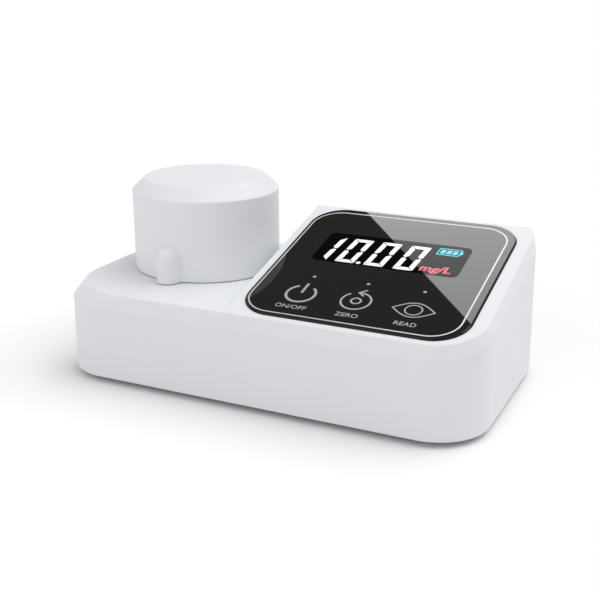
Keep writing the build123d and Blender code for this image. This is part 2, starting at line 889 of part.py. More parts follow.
def optical_filter():
    """Coloured glass disc on the shoulder of the sensor's bore."""
    radius = arm_bore_radius - optics_clearance
    shoulder = cell_bore_radius + port_length
    return optics_place(0) * Pos(shoulder, 0, 0) * Rot(0, 90, 0) * disc(0, 0, 0, filter_thickness, radius)


def light_sensor():
    """Metal can sensor with a brim, facing the well."""
    can = disc(0, 0, 0, sensor_can_height, sensor_can_radius)
    can += disc(0, 0, 0, sensor_brim_thickness, sensor_can_radius + sensor_brim)
    return optics_place(0) * Pos(sensor_reach, 0, 0) * Rot(0, -90, 0) * can


def optics_board(turn, reach):
    """Small board across the end of an arm."""
    half_y = arm_flange_width / 2
    half_z = arm_flange_height / 2
    board = slab(reach, reach + board_thickness, -half_y, half_y, -half_z, half_z)
    for side in (-1, 1):
        hole = disc(0, side * optics_screw_spacing / 2, reach, reach + board_thickness, optics_pilot_radius + 0.3)
        board -= Rot(0, 90, 0) * hole
    return optics_place(turn) * board


def optics_screws():
    """Two screws through each optics board."""
    model = screw(
        optics_screw_head_radius,
        optics_screw_head_height,
        optics_pilot_radius - thread_clearance,
        optics_screw_length,
    )
    screws = []
    for turn, reach in ((180, emitter_reach), (0, sensor_reach)):
        for side in (-1, 1):
            place = Pos(reach + board_thickness, side * optics_screw_spacing / 2, 0)
            screws.append(optics_place(turn) * place * Rot(0, -90, 0) * model)
    return Compound(screws)


def cap_solid(offset, top_drop, base):
    """Turned form of the cap drawn in by an offset: straight side, sloping shoulder, flat top."""
    radius = cap_radius - offset
    shoulder = deck_height + cap_height - cap_shoulder_drop - offset * math.tan(shoulder_tilt / 2)
    top = deck_height + cap_height - top_drop
    top_radius = radius - (top - shoulder) * math.tan(shoulder_tilt)
    outline = Polyline((0, base), (radius, base), (radius, shoulder), (top_radius, top), (0, top), close=True)
    profile = make_face(Plane.XZ * outline)
    return Pos(well_x, well_y, 0) * revolve(profile, Axis.Z)


def cap_shell():
    """White cap: hollow turned form with a domed locating lug at its front."""
    base = deck_height + cap_base_gap
    body = cap_solid(0, 0, base)
    rings = [edge for edge in body.edges() if edge.geom_type == GeomType.CIRCLE and edge.center().Z > base + 1]
    body = fillet(rings, cap_edge_rounding)
    lug_y = well_y - cap_radius - lug_offset
    lug_top = deck_height + lug_height
    lug = disc(well_x, lug_y, base, lug_top, lug_radius)
    lug += Pos(well_x, lug_y, lug_top) * Sphere(lug_radius)
    joined = body + lug
    seam = [edge for edge in joined.edges() if is_lug_seam(edge, base)]
    joined = fillet(seam, lug_blend)
    return joined - cap_solid(cap_wall, cap_top_wall, base)


def is_lug_seam(edge, base):
    """True for the edges where the lug meets the cap's side wall."""
    middle = edge.position_at(0.5)
    on_wall = abs(math.hypot(middle.X - well_x, middle.Y - well_y) - cap_radius) < 0.02
    in_front = middle.Y < well_y - cap_radius / 2 and abs(middle.X - well_x) < lug_radius
    return on_wall and in_front and middle.Z > base + 0.5


def cap_liner():
    """Black inner cup that keeps stray light out."""
    outer_offset = cap_wall + liner_gap
    inner_offset = outer_offset + liner_wall
    base = deck_height + seal_gap + seal_height
    cup = cap_solid(outer_offset, cap_top_wall, base)
    return cup - cap_solid(inner_offset, cap_top_wall + liner_wall, base)


def cap_seal():
    """Soft ring under the edge of the liner."""
    outer = cap_radius - cap_wall - liner_gap
    low = deck_height + seal_gap
    high = low + seal_height
    return disc(well_x, well_y, low, high, outer) - disc(well_x, well_y, low, high, outer - liner_wall)


def build():
    """Write one file for each piece."""
    pieces = {
        "upper_shell": upper_shell(),
        "bottom_cover": bottom_cover(),
        "rubber_feet": rubber_feet(),
        "housing_screws": housing_screws(),
        "touch_panel": touch_panel(),
        "panel_gasket": panel_gasket(),
        "display_module": display_module(),
        "touch_pillars": touch_pillars(),
        "indicator_lamps": indicator_lamps(),
        "panel_board": panel_board(),
        "panel_board_screws": panel_board_screws(),
        "main_board": main_board(),
        "main_board_screws": main_board_screws(),
        "charge_socket": charge_socket(),
        "buzzer": buzzer(),
        "ribbon_cable": ribbon_cable(),
        "battery_pack": battery_pack(),
        "battery_clamp": battery_clamp(),
        "clamp_screws": clamp_screws(),
        "well_bezel": well_bezel(),
        "cell_holder": cell_holder(),
        "holder_screws": holder_screws(),
        "collimating_lens": collimating_lens(),
        "emitter_lamp": emitter_lamp(),
        "emitter_board": optics_board(180, emitter_reach),
        "optical_filter": optical_filter(),
        "light_sensor": light_sensor(),
        "sensor_board": optics_board(0, sensor_reach),
        "optics_screws": optics_screws(),
        "cap_shell": cap_shell(),
        "cap_liner": cap_liner(),
        "cap_seal": cap_seal(),
    }
    os.makedirs("parts", exist_ok=True)
    for name, shape in pieces.items():
        export_step(shape, os.path.join("parts", name + ".step"))


build()
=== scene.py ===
"""Looks of a bench tester for residual chlorine: a white moulded housing with a sloping black touch
panel and a round light shield cap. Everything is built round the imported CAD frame, in metres."""

import json
import math

import bpy
import numpy as np
from mathutils import Matrix, Vector


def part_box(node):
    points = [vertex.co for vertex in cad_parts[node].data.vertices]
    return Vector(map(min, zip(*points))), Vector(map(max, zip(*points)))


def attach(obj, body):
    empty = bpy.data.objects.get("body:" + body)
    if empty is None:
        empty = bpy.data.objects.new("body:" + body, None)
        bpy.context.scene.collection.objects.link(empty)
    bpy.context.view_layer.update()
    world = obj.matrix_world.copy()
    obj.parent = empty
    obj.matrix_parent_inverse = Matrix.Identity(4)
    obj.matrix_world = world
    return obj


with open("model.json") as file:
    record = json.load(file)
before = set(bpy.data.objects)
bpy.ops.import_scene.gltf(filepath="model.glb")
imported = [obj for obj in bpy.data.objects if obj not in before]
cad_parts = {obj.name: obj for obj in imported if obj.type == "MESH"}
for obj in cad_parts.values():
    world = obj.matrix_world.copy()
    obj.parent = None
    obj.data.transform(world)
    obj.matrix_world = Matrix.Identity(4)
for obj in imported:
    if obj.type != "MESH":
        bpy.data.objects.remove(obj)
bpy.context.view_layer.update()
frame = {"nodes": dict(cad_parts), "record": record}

MM = 0.001

# Camera, found from the photograph's edges
CAMERA_PLACE = Vector((178.90, -379.43, 172.22)) * MM
CAMERA_AZIMUTH = math.radians(25.372)
CAMERA_ELEVATION = math.radians(18.515)
LENS_MM = 60.02
SENSOR_MM = 36.0
CAMERA_NEAR = 0.02
CAMERA_FAR = 50.0

# Glass of the touch panel; its place and its two sizes come from the CAD node
SLOPE = math.radians(14.4)
GLASS_THICKNESS = 2.0 * MM
GLASS_BEVEL = 0.4 * MM
PRINT_HEIGHT = 0.03 * MM
PRINT_THICKNESS = 0.05 * MM

# Smallest cosine of half a turn at which a stroke's corner is still lengthened in full
MITER_LIMIT = 0.5

# Printed outline: how far it lies inside the glass on each side
OUTLINE_LEFT = 1.7 * MM
OUTLINE_RIGHT = 3.5 * MM
OUTLINE_FRONT = 1.6 * MM
OUTLINE_REAR = 3.6 * MM
OUTLINE_WIDTH = 0.65 * MM
OUTLINE_RADIUS = 12.0 * MM

# Display window, measured from the glass edges
WINDOW_LEFT = 14.2 * MM
WINDOW_RIGHT = 15.3 * MM
WINDOW_FRONT = 44.0 * MM
WINDOW_REAR = 22.4 * MM
WINDOW_RADIUS = 3.0 * MM
WINDOW_RINGS = 6
WINDOW_LAST_RING = 0.02
WINDOW_HEIGHT = 0.5 * PRINT_HEIGHT

# Digits: a slanted seven-segment cell
DIGIT_BASE = 45.1 * MM
DIGIT_HEIGHT = 20.3 * MM
DIGIT_WIDTH = 8.7 * MM
DIGIT_PITCH = 13.0 * MM
DIGIT_STROKE = 2.45 * MM
DIGIT_SLANT = 0.105
DIGIT_GAP = 0.22 * MM
DIGIT_TIP = 0.4
ONE_LEFT = 12.34 * MM
FIRST_ZERO_LEFT = 24.85 * MM
POINT_OFFSET = 2.0 * MM
POINT_RADIUS = 1.0 * MM

# Battery symbol and unit, measured from the glass edges
BATTERY_LEFT = 64.9 * MM
BATTERY_BASE = 60.9 * MM
BATTERY_WIDTH = 9.4 * MM
BATTERY_HEIGHT = 5.1 * MM
BATTERY_LINE = 0.55 * MM
BATTERY_CORNER = 0.5 * MM
CELL_MARGIN = 1.0 * MM
CELL_WIDTH = 2.1 * MM
CELL_GAP = 0.55 * MM
POLE_GAP = 0.3 * MM
POLE_REACH = 1.1 * MM
POLE_LOW = 0.28
UNIT_LEFT = 61.9 * MM
UNIT_BASE = 44.9 * MM
UNIT_WIDTH = 13.4 * MM
UNIT_SIZE = 5.6 * MM
UNIT_SLANT = 0.12
UNIT_WEIGHT = 0.16 * MM
UNIT_FLATTEN = 0.95

# Touch symbols, measured from the glass edges; the ends of their arcs are in degrees
KEY_LEFT = 22.2 * MM
KEY_PITCH = 23.95 * MM
KEY_HEIGHT = 17.2 * MM
LAMP_HEIGHT = 30.9 * MM
SYMBOL_RADIUS = 6.1 * MM
POWER_ARC = (118, 412)
POWER_STROKE = 1.15 * MM
POWER_BAR_LOW = 0.6 * MM
POWER_BAR_HIGH = 8.0 * MM
ZERO_SHIFT = (-0.2 * MM, 0.5 * MM)
ZERO_ARC = (130, 452)
ZERO_STROKE = 0.85 * MM
ZERO_INNER_RADIUS = 2.0 * MM
ZERO_INNER_STROKE = 0.8 * MM
ARROW_TIP = (-0.9 * MM, 6.1 * MM)
ARROW_UPPER = (2.7 * MM, 2.5 * MM)
ARROW_LOWER = (2.6 * MM, -2.1 * MM)
EYE_HALF_WIDTH = 8.6 * MM
EYE_HALF_HEIGHT = 5.0 * MM
EYE_STROKE = 0.6 * MM
LID_STEPS = 33
IRIS_RADIUS = 3.4 * MM
KEY_LAMP_RADIUS = 0.75 * MM
LABEL_HEIGHT = 7.2 * MM
LABEL_SIZE = 3.7 * MM
LABEL_WEIGHT = 0.03 * MM
LABEL_RAISE = 0.35

# Finishes: the grain's cells against its noise, how fast an edge's mask fills, and what wear adds
GRAIN_CELLS = 0.6
EDGE_GAIN = 12.0
WORN_GAIN = 1.4
WORN_LIFT = 0.04
RIBBON_PITCH = 1.27 * MM
WAVE_PERIOD = math.tau / 20

# Floor and lights: a light's level is what it adds to a white face turned towards it
FLOOR_SIZE = 30.0
FLOOR_SEEN = 0.92
FLOOR_BOUNCE = (0.75, 0.75, 0.76, 1.0)
FLOOR_GLOW = 0.01
SKY_LEVEL = 0.61
KEY_LEVEL = 0.48
KEY_DIRECTION = (0.41, 0.31, 0.86)
KEY_SPREAD = math.radians(56)
FILL_LEVEL = 0.195
FILL_DIRECTION = (-0.40, -0.84, 0.34)
FILL_SPREAD = math.radians(60)
CARD_RADIANCE = 4.3
CARD_DISTANCE = 0.9
CARD_WIDTH = 0.44
CARD_LENGTH = 0.22
CARD_EDGE_START = (22.9 * MM, 89.6 * MM)
CARD_EDGE_END = (93.4 * MM, 14.1 * MM)

# Surroundings in mirrors: the upward share of a ray's direction, and the brightness there
HORIZON_RAMP = ((0.10, 0.9), (0.50, 0.08))

# Panel plane


def panel_frame():
    """Corner of the glass face, its three axes and its two sizes, from the box of the CAD node.

    The bottom of the box is the plate's lower front edge. The front of the box is where the bevel
    starts on the front wall, the thickness less the bevel from that edge along the normal, and this
    gives the edge's place. The corner of the face is one thickness from the edge along the normal."""
    low, high = (np.array(corner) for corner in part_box("touch_panel"))
    across = np.array((1.0, 0.0, 0.0))
    along = np.array((0.0, math.cos(SLOPE), math.sin(SLOPE)))
    normal = np.array((0.0, -math.sin(SLOPE), math.cos(SLOPE)))
    front = low[1] + (GLASS_THICKNESS - GLASS_BEVEL) * math.sin(SLOPE)
    corner = np.array((low[0], front, low[2])) + normal * GLASS_THICKNESS
    return corner, across, along, normal, high[0] - low[0], (high[1] - front) / math.cos(SLOPE)


GLASS_CORNER, ACROSS, ALONG, OUTWARD, GLASS_WIDTH, GLASS_LENGTH = panel_frame()


def unit(vectors):
    """Each vector over its own length."""
    return vectors / np.linalg.norm(vectors, axis=-1, keepdims=True)


def on_glass(points, height=PRINT_HEIGHT):
    """Points (across, along) in metres as places on the glass: the corner plus the first times its
    across axis, the second times its along axis, and the height times its normal."""
    points = np.asarray(points, float).reshape(-1, 2)
    across, along = np.outer(points[:, 0], ACROSS), np.outer(points[:, 1], ALONG)
    return GLASS_CORNER + across + along + OUTWARD * height


# Mesh tools


def new_piece(name, vertices, faces, material, body, thickness=0.0):
    """Mesh object at the origin that rides on a body; a print gets its thickness inwards."""
    mesh = bpy.data.meshes.new(name)
    mesh.from_pydata(np.asarray(vertices).tolist(), [], [list(map(int, face)) for face in faces])
    mesh.materials.append(material)
    mesh.validate()
    piece = bpy.data.objects.new(name, mesh)
    bpy.context.scene.collection.objects.link(piece)
    if thickness:
        wall = piece.modifiers.new("Thickness", "SOLIDIFY")
        wall.thickness = thickness
        wall.offset = -1.0
    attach(piece, body)
    return piece


def grid_faces(rows, columns, wrap_columns=False):
    """Quads of a grid of rows by columns, counter-clockwise; a point's index is its row times the
    number of columns plus its column."""
    spans = columns if wrap_columns else columns - 1
    row, column = np.meshgrid(np.arange(rows - 1), np.arange(spans), indexing="ij")
    start = row * columns + column
    step = row * columns + (column + 1) % columns
    return np.stack((start, step, step + columns, start + columns), axis=-1).reshape(-1, 4)


def rounded_outline(left, front, right, rear, radius, steps=12):
    """Closed path round a rectangle: four quarter circles, centre plus radius times cosine and sine."""
    turn = np.linspace(0, math.pi / 2, steps)
    corners = ((right - radius, front + radius, -0.5), (right - radius, rear - radius, 0.0),
               (left + radius, rear - radius, 0.5), (left + radius, front + radius, 1.0))
    arcs = []
    for x, y, quarter in corners:
        angle = turn + quarter * math.pi
        arcs.append(np.stack((x + radius * np.cos(angle), y + radius * np.sin(angle)), axis=1))
    return np.concatenate(arcs)


def stroke(path, width, closed=False):
    """Flat band along a path: each row is the path plus or minus half the width times its normal,
    which is lengthened at a turn by one over the cosine of half the turn."""
    path = np.asarray(path, float)
    if closed:
        ahead, behind = np.roll(path, -1, axis=0), np.roll(path, 1, axis=0)
    else:
        ahead = np.vstack((path[1:], 2 * path[-1] - path[-2]))
        behind = np.vstack((2 * path[0] - path[1], path[:-1]))
    arriving = unit(path - behind)
    tangent = unit(arriving + unit(ahead - path))
    miter = np.clip(np.sum(tangent * arriving, axis=1, keepdims=True), MITER_LIMIT, 1.0)
    normal = np.stack((-tangent[:, 1], tangent[:, 0]), axis=1) / miter
    points = np.concatenate((path - normal * width / 2, path + normal * width / 2))
    return points, grid_faces(2, len(path), closed)


def merge_flat(parts):
    """Several flat (points, faces) parts as one: each part's indices are raised by the points before."""
    points, faces, start = [], [], 0
    for part_points, part_faces in parts:
        points.append(np.asarray(part_points, float))
        faces += [[int(index) + start for index in face] for face in part_faces]
        start += len(part_points)
    return np.concatenate(points), faces


def print_on_glass(name, parts, material, height=PRINT_HEIGHT):
    """Thin printed layer on the glass from flat parts: its face at the height, its wall inwards."""
    points, faces = merge_flat(parts)
    return new_piece(name, on_glass(points, height), faces, material, "housing", PRINT_THICKNESS)


def arc(centre, radius, start, end, steps=48):
    """Points on a circle between two angles in degrees: centre plus radius times cosine and sine."""
    angle = np.radians(np.linspace(start, end, steps))
    return np.stack((centre[0] + radius * np.cos(angle), centre[1] + radius * np.sin(angle)), axis=1)


def ring(centre, radius, width, steps=64):
    """Closed circular band: a stroke along a full circle."""
    return stroke(arc(centre, radius, 0, 360, steps + 1)[:-1], width, closed=True)


def dot(centre, radius, steps=28):
    """Filled circle as one polygon."""
    return arc(centre, radius, 0, 360, steps + 1)[:-1], [list(range(steps))]


# Shader tools


def link(tree, source, target):
    """Join an output socket to an input socket."""
    tree.links.new(source, target)


def feed(tree, value, socket):
    """Set an input socket to a value, or link it where the value is an output socket."""
    if isinstance(value, bpy.types.NodeSocket):
        link(tree, value, socket)
    else:
        socket.default_value = value


def add_node(tree, kind, **settings):
    """Shader node with its attributes set by name."""
    made = tree.nodes.new(kind)
    for key, value in settings.items():
        setattr(made, key, value)
    return made


def math_node(tree, operation, first, second, clamp=False):
    """Math node whose inputs are sockets or numbers."""
    made = add_node(tree, "ShaderNodeMath", operation=operation, use_clamp=clamp)
    for socket, value in zip(made.inputs, (first, second)):
        feed(tree, value, socket)
    return made.outputs[0]


def mix_colors(tree, factor, first, second):
    """Colour between two others: the first where the factor is 0, the second where it is 1.
    The mix node's colour sockets are its seventh and eighth, and its colour result is the third."""
    made = add_node(tree, "ShaderNodeMix", data_type="RGBA")
    for index, value in ((0, factor), (6, first), (7, second)):
        feed(tree, value, made.inputs[index])
    return made.outputs[2]


def grey(level):
    """Colour with the same red, green and blue."""
    return (level, level, level, 1.0)


def new_group(name, inputs, outputs):
    """Empty shader node group with named sockets; returns the tree and its two end nodes."""
    tree = bpy.data.node_groups.new(name, "ShaderNodeTree")
    for label, kind, value in inputs:
        socket = tree.interface.new_socket(name=label, in_out="INPUT", socket_type=kind)
        if value is not None:
            socket.default_value = value
    for label, kind in outputs:
        tree.interface.new_socket(name=label, in_out="OUTPUT", socket_type=kind)
    return tree, tree.nodes.new("NodeGroupInput"), tree.nodes.new("NodeGroupOutput")


def use_group(tree, group, **values):
    """Place a group in a material and set its inputs by name."""
    made = tree.nodes.new("ShaderNodeGroup")
    made.node_tree = group
    for label, value in values.items():
        feed(tree, value, made.inputs[label])
    return made


def grain_group():
    """Spark-eroded mould grain: height is the fine noise plus the roundness times the distance
    from the middles of larger cells."""
    tree, start, end = new_group(
        "Mould grain",
        [("Vector", "NodeSocketVector", None), ("Scale", "NodeSocketFloat", 2400.0),
         ("Roundness", "NodeSocketFloat", 0.5)],
        [("Height", "NodeSocketFloat")],
    )
    fine = add_node(tree, "ShaderNodeTexNoise", noise_dimensions="3D")
    fine.inputs["Detail"].default_value = 2.0
    cells = add_node(tree, "ShaderNodeTexVoronoi", feature="SMOOTH_F1")
    link(tree, start.outputs["Vector"], fine.inputs["Vector"])
    link(tree, start.outputs["Vector"], cells.inputs["Vector"])
    link(tree, start.outputs["Scale"], fine.inputs["Scale"])
    link(tree, math_node(tree, "MULTIPLY", start.outputs["Scale"], GRAIN_CELLS), cells.inputs["Scale"])
    rounded = math_node(tree, "MULTIPLY", cells.outputs["Distance"], start.outputs["Roundness"])
    link(tree, math_node(tree, "ADD", fine.outputs["Fac"], rounded), end.inputs["Height"])
    return tree


def drift_group():
    """Slow change of brightness over a surface, as mouldings and paint have: the colour times one
    plus the amount times a noise that runs from minus one to one."""
    tree, start, end = new_group(
        "Colour drift",
        [("Vector", "NodeSocketVector", None), ("Color", "NodeSocketColor", None),
         ("Scale", "NodeSocketFloat", 25.0), ("Amount", "NodeSocketFloat", 0.03)],
        [("Color", "NodeSocketColor")],
    )
    cloud = add_node(tree, "ShaderNodeTexNoise")
    cloud.inputs["Detail"].default_value = 3.0
    link(tree, start.outputs["Vector"], cloud.inputs["Vector"])
    link(tree, start.outputs["Scale"], cloud.inputs["Scale"])
    swing = math_node(tree, "SUBTRACT", cloud.outputs["Fac"], 0.5)
    swing = math_node(tree, "MULTIPLY", swing, start.outputs["Amount"])
    factor = math_node(tree, "ADD", math_node(tree, "MULTIPLY", swing, 2.0), 1.0)
    scaled = add_node(tree, "ShaderNodeVectorMath", operation="SCALE")
    link(tree, start.outputs["Color"], scaled.inputs[0])
    link(tree, factor, scaled.inputs["Scale"])
    link(tree, scaled.outputs[0], end.inputs["Color"])
    return tree


def sheen_group():
    """Wiped patches and faint streaks: the roughness plus the amount times the sum of a cloudy and
    a stretched noise, less one."""
    tree, start, end = new_group(
        "Wiped sheen",
        [("Vector", "NodeSocketVector", None), ("Roughness", "NodeSocketFloat", 0.4),
         ("Scale", "NodeSocketFloat", 40.0), ("Amount", "NodeSocketFloat", 0.05)],
        [("Roughness", "NodeSocketFloat")],
    )
    patches = add_node(tree, "ShaderNodeTexNoise")
    patches.inputs["Detail"].default_value = 4.0
    stretch = add_node(tree, "ShaderNodeMapping")
    stretch.inputs["Scale"].default_value = (1.0, 14.0, 6.0)
    streaks = add_node(tree, "ShaderNodeTexNoise")
    link(tree, start.outputs["Vector"], patches.inputs["Vector"])
    link(tree, start.outputs["Vector"], stretch.inputs["Vector"])
    link(tree, stretch.outputs[0], streaks.inputs["Vector"])
    link(tree, start.outputs["Scale"], patches.inputs["Scale"])
    link(tree, start.outputs["Scale"], streaks.inputs["Scale"])
    both = math_node(tree, "ADD", patches.outputs["Fac"], streaks.outputs["Fac"])
    swing = math_node(tree, "MULTIPLY", math_node(tree, "SUBTRACT", both, 1.0), start.outputs["Amount"])
    roughness = math_node(tree, "ADD", start.outputs["Roughness"], swing, clamp=True)
    link(tree, roughness, end.inputs["Roughness"])
    return tree


def edge_group():
    """Mask of worn edges: one less the dot product of the rounded and the true normal, raised by a
    gain and broken up by noise. The rounded normal is put out too, and softens the edges."""
    tree, start, end = new_group(
        "Edge wear",
        [("Vector", "NodeSocketVector", None), ("Radius", "NodeSocketFloat", 0.0006),
         ("Amount", "NodeSocketFloat", 0.5)],
        [("Mask", "NodeSocketFloat"), ("Normal", "NodeSocketVector")],
    )
    soft = add_node(tree, "ShaderNodeBevel", samples=4)
    true_normal = add_node(tree, "ShaderNodeNewGeometry")
    lean = add_node(tree, "ShaderNodeVectorMath", operation="DOT_PRODUCT")
    breakup = add_node(tree, "ShaderNodeTexNoise")
    breakup.inputs["Scale"].default_value = 700.0
    link(tree, start.outputs["Radius"], soft.inputs["Radius"])
    link(tree, start.outputs["Vector"], breakup.inputs["Vector"])
    link(tree, soft.outputs[0], lean.inputs[0])
    link(tree, true_normal.outputs["Normal"], lean.inputs[1])
    turned = math_node(tree, "SUBTRACT", 1.0, lean.outputs["Value"])
    away = math_node(tree, "MULTIPLY", turned, EDGE_GAIN, clamp=True)
    broken = math_node(tree, "MULTIPLY", away, breakup.outputs["Fac"])
    mask = math_node(tree, "MULTIPLY", broken, start.outputs["Amount"], clamp=True)
    link(tree, mask, end.inputs["Mask"])
    link(tree, soft.outputs[0], end.inputs["Normal"])
    return tree


GRAIN = grain_group()
DRIFT = drift_group()
SHEEN = sheen_group()
EDGES = edge_group()


def new_material(name):
    """Material with a Principled shader; returns it, its tree, the shader and object coordinates."""
    material = bpy.data.materials.new(name)
    material.use_nodes = True
    tree = material.node_tree
    shader = tree.nodes["Principled BSDF"]
    place = tree.nodes.new("ShaderNodeTexCoord").outputs["Object"]
    return material, tree, shader, place


def finish_material(
    name,
    color,
    roughness,
    drift=0.03,
    grain=0.0,
    grain_scale=2400.0,
    sheen=0.04,
    edge_radius=0.0005,
    edge_wear=0.0,
    **sockets,
):
    """Solid finish: drifting colour, wiped sheen, mould grain and softened, slightly worn edges. The
    mask of worn edges mixes in a paler colour. Other sockets of the shader are set by their names,
    with _ for a space."""
    material, tree, shader, place = new_material(name)
    drifted = use_group(tree, DRIFT, Vector=place, Color=(*color, 1.0), Amount=drift)
    edges = use_group(tree, EDGES, Vector=place, Radius=edge_radius, Amount=edge_wear)
    worn = tuple(min(1.0, value * WORN_GAIN + WORN_LIFT) for value in color)
    mixed = mix_colors(tree, edges.outputs["Mask"], drifted.outputs["Color"], (*worn, 1.0))
    link(tree, mixed, shader.inputs["Base Color"])
    wiped = use_group(tree, SHEEN, Vector=place, Roughness=roughness, Amount=sheen)
    link(tree, wiped.outputs["Roughness"], shader.inputs["Roughness"])
    if grain:
        height = use_group(tree, GRAIN, Vector=place, Scale=grain_scale)
        bump = add_node(tree, "ShaderNodeBump")
        bump.inputs["Strength"].default_value = 1.0
        bump.inputs["Distance"].default_value = grain
        link(tree, height.outputs["Height"], bump.inputs["Height"])
        link(tree, edges.outputs["Normal"], bump.inputs["Normal"])
        link(tree, bump.outputs["Normal"], shader.inputs["Normal"])
    else:
        link(tree, edges.outputs["Normal"], shader.inputs["Normal"])
    for label, value in sockets.items():
        shader.inputs[label.replace("_", " ")].default_value = value
    return material


def glow_material(name, color, strength):
    """Lit symbol behind the glass: colour from light, with a faint unevenness."""
    material, tree, shader, place = new_material(name)
    drifted = use_group(tree, DRIFT, Vector=place, Color=(*color, 1.0), Amount=0.06, Scale=900.0)
    shader.inputs["Base Color"].default_value = grey(0.02)
    shader.inputs["Roughness"].default_value = 0.3
    link(tree, drifted.outputs["Color"], shader.inputs["Emission Color"])
    shader.inputs["Emission Strength"].default_value = strength
    return material


def glass_material(name, color, roughness=0.03):
    """Clear or tinted glass with a slightly uneven polish."""
    material, tree, shader, place = new_material(name)
    wiped = use_group(tree, SHEEN, Vector=place, Roughness=roughness, Amount=0.02)
    link(tree, wiped.outputs["Roughness"], shader.inputs["Roughness"])
    drifted = use_group(tree, DRIFT, Vector=place, Color=(*color, 1.0), Amount=0.02)
    link(tree, drifted.outputs["Color"], shader.inputs["Base Color"])
    shader.inputs["Transmission Weight"].default_value = 1.0
    shader.inputs["IOR"].default_value = 1.5
    return material


def board_material(name):
    """Green solder resist over copper tracks: a brick pattern whose thin paler joints are the tracks."""
    material, tree, shader, place = new_material(name)
    tracks = add_node(tree, "ShaderNodeTexBrick")
    tracks.inputs["Scale"].default_value = 260.0
    tracks.inputs["Mortar Size"].default_value = 0.02
    tracks.inputs["Color1"].default_value = (0.012, 0.11, 0.045, 1.0)
    tracks.inputs["Color2"].default_value = (0.015, 0.13, 0.05, 1.0)
    tracks.inputs["Mortar"].default_value = (0.05, 0.26, 0.11, 1.0)
    link(tree, place, tracks.inputs["Vector"])
    drifted = use_group(tree, DRIFT, Vector=place, Color=tracks.outputs["Color"], Amount=0.08)
    link(tree, drifted.outputs["Color"], shader.inputs["Base Color"])
    wiped = use_group(tree, SHEEN, Vector=place, Roughness=0.35, Amount=0.08)
    link(tree, wiped.outputs["Roughness"], shader.inputs["Roughness"])
    bump = add_node(tree, "ShaderNodeBump")
    bump.inputs["Distance"].default_value = 0.00004
    link(tree, tracks.outputs["Fac"], bump.inputs["Height"])
    link(tree, bump.outputs["Normal"], shader.inputs["Normal"])
    return material


def ribbon_material(name):
    """Grey ribbon cable: fine ribs across its width. The wave's scale is its period over the pitch."""
    material, tree, shader, place = new_material(name)
    ribs = add_node(tree, "ShaderNodeTexWave", wave_type="BANDS", bands_direction="X")
    ribs.inputs["Scale"].default_value = WAVE_PERIOD / RIBBON_PITCH
    link(tree, place, ribs.inputs["Vector"])
    drifted = use_group(tree, DRIFT, Vector=place, Color=(0.42, 0.43, 0.46, 1.0), Amount=0.05)
    link(tree, drifted.outputs["Color"], shader.inputs["Base Color"])
    bump = add_node(tree, "ShaderNodeBump")
    bump.inputs["Distance"].default_value = 0.0003
    link(tree, ribs.outputs["Fac"], bump.inputs["Height"])
    link(tree, bump.outputs["Normal"], shader.inputs["Normal"])
    shader.inputs["Roughness"].default_value = 0.5
    return material


def make_materials():
    """One finish for each material slot of the record."""
    return {
        "shell_white": finish_material(
            "shell_white", (0.782, 0.796, 0.820), 0.45,
            drift=0.012, grain=0.000008, edge_radius=0.0004, Specular_IOR_Level=0.25,
        ),
        "cap_white": finish_material(
            "cap_white", (0.785, 0.796, 0.820), 0.43,
            drift=0.012, grain=0.000008, edge_radius=0.0003, Specular_IOR_Level=0.25,
        ),
        "cover_grey": finish_material("cover_grey", (0.42, 0.42, 0.43), 0.55, grain=0.00004, edge_wear=0.3),
        "foot_rubber": finish_material(
            "foot_rubber", (0.022, 0.022, 0.023), 0.75, grain=0.00003, edge_wear=0.4
        ),
        "grey_rubber": finish_material("grey_rubber", (0.08, 0.08, 0.085), 0.7, grain=0.00002),
        "steel": finish_material(
            "steel", (0.55, 0.56, 0.58), 0.32, Metallic=1.0, edge_radius=0.0001, edge_wear=0.6, sheen=0.12
        ),
        "panel_glass": finish_material(
            "panel_glass", (0.0150, 0.0135, 0.0130), 0.012,
            drift=0.02, sheen=0.003, edge_radius=0.0002, Specular_IOR_Level=0.3,
        ),
        "adhesive": finish_material("adhesive", (0.012, 0.012, 0.012), 0.8, grain=0.00002),
        "display_dark": finish_material("display_dark", (0.006, 0.006, 0.007), 0.15, edge_radius=0.0002),
        "lamp_resin": glass_material("lamp_resin", (0.92, 0.93, 0.95), 0.08),
        "board_green": board_material("board_green"),
        "socket_metal": finish_material(
            "socket_metal", (0.72, 0.72, 0.73), 0.22,
            Metallic=1.0, edge_radius=0.0001, edge_wear=0.5, sheen=0.1,
        ),
        "black_plastic": finish_material(
            "black_plastic", (0.012, 0.012, 0.0125), 0.5, grain=0.00003, edge_wear=0.25
        ),
        "ribbon_grey": ribbon_material("ribbon_grey"),
        "battery_wrap": finish_material("battery_wrap", (0.015, 0.06, 0.22), 0.25, drift=0.06, sheen=0.1),
        "clamp_metal": finish_material(
            "clamp_metal", (0.50, 0.50, 0.51), 0.35,
            Metallic=1.0, edge_wear=0.5, edge_radius=0.0002, sheen=0.15,
        ),
        "clear_glass": glass_material("clear_glass", (0.97, 0.98, 0.99)),
        "green_glass": glass_material("green_glass", (0.15, 0.75, 0.45)),
        "liner_black": finish_material(
            "liner_black", (0.010, 0.010, 0.010), 0.85, grain=0.00006, grain_scale=1500.0
        ),
    }


MATERIALS = make_materials()


def dress_cad_nodes():
    """Give every CAD node the finish of its slot."""
    for entry in frame["record"]["subparts"]:
        node = frame["nodes"][entry["node"]]
        node.data.materials.clear()
        node.data.materials.append(MATERIALS[entry["material_slot"]])


dress_cad_nodes()

# Panel graphics

